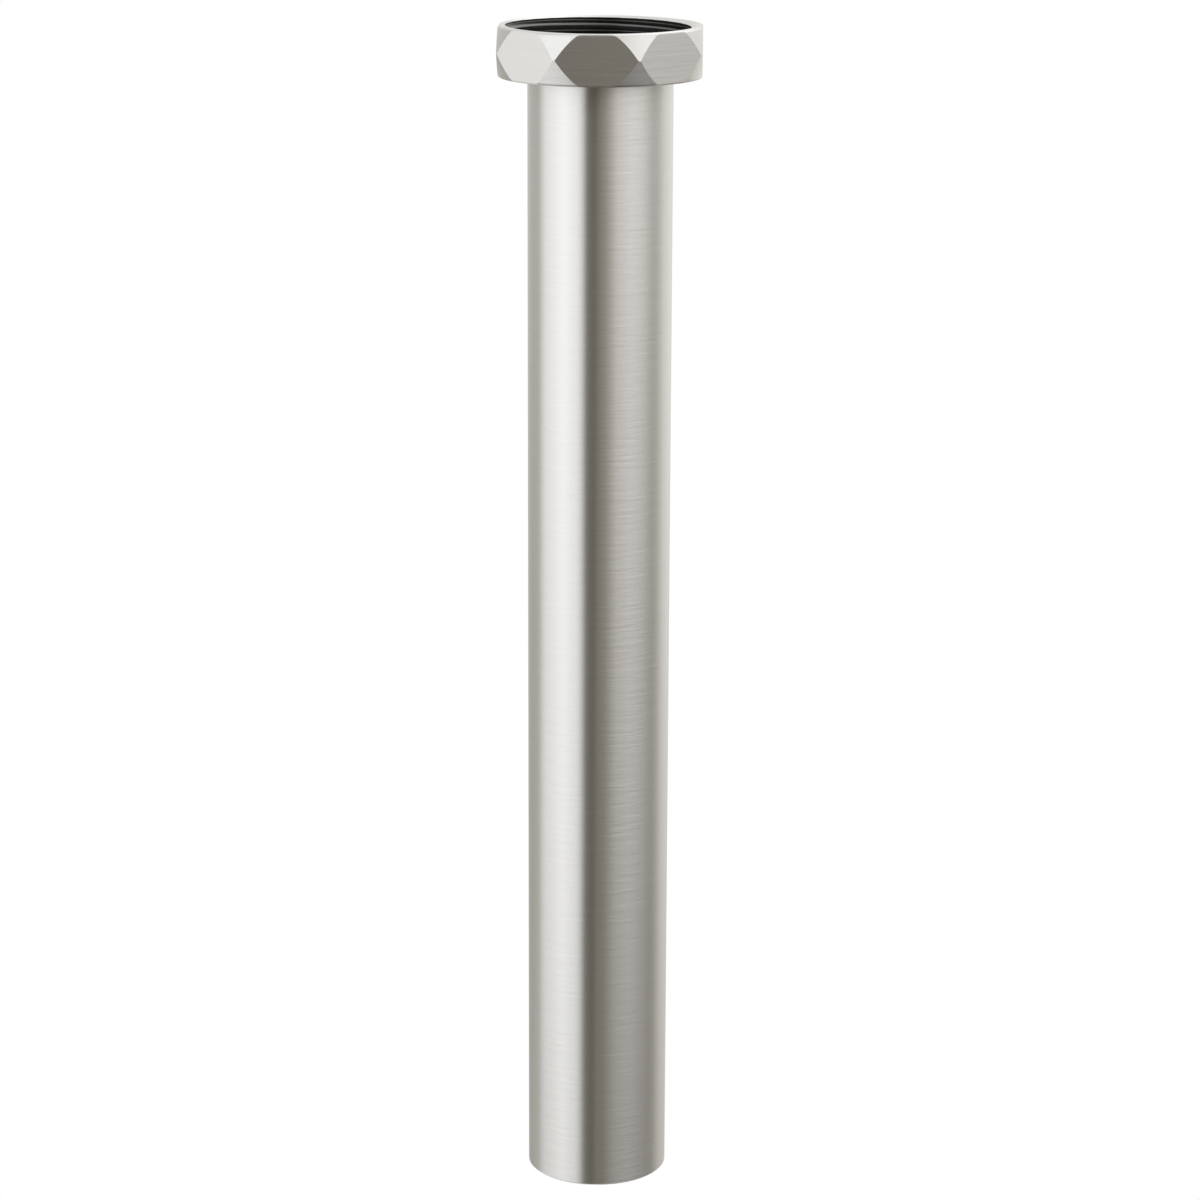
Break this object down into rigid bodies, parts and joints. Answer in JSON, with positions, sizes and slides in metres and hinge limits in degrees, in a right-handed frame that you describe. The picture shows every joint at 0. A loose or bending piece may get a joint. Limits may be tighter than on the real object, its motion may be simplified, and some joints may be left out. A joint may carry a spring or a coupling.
{
  "type": "basin waste tail pipe",
  "caption": "Straight flanged tail pipe for a basin waste, with a loose octagonal union nut and a flat sealing washer at its upper end.",
  "frame": {"origin": "on the axis, at the middle of the union nut's mouth", "axes": "+Z along the tube's axis, out of the nut's mouth towards the basin; one spanner flat of the nut faces -Y"},
  "size_m": [0.0444, 0.0444, 0.2658],
  "materials": {
    "nut_steel": "satin, brushed along the flats and round the cones",
    "tube_steel": "satin, brushed round the tube",
    "seal_rubber": "matt black"
  },
  "bodies": {
    "nut": {"union_nut": "nut_steel"},
    "washer": {"sealing_washer": "seal_rubber"},
    "tube": {"tail_pipe": "tube_steel"}
  },
  "joints": [
    {"name": "tube_slide", "type": "slide", "parent": "nut", "child": "washer", "axis": [0, 0, 1], "range_m": [0, 0.2546]},
    {"name": "tube_turn", "type": "hinge", "parent": "washer", "child": "tube", "pos_m": [0, 0, -0.0077], "axis": [0, 0, 1], "continuous": true}
  ]
}
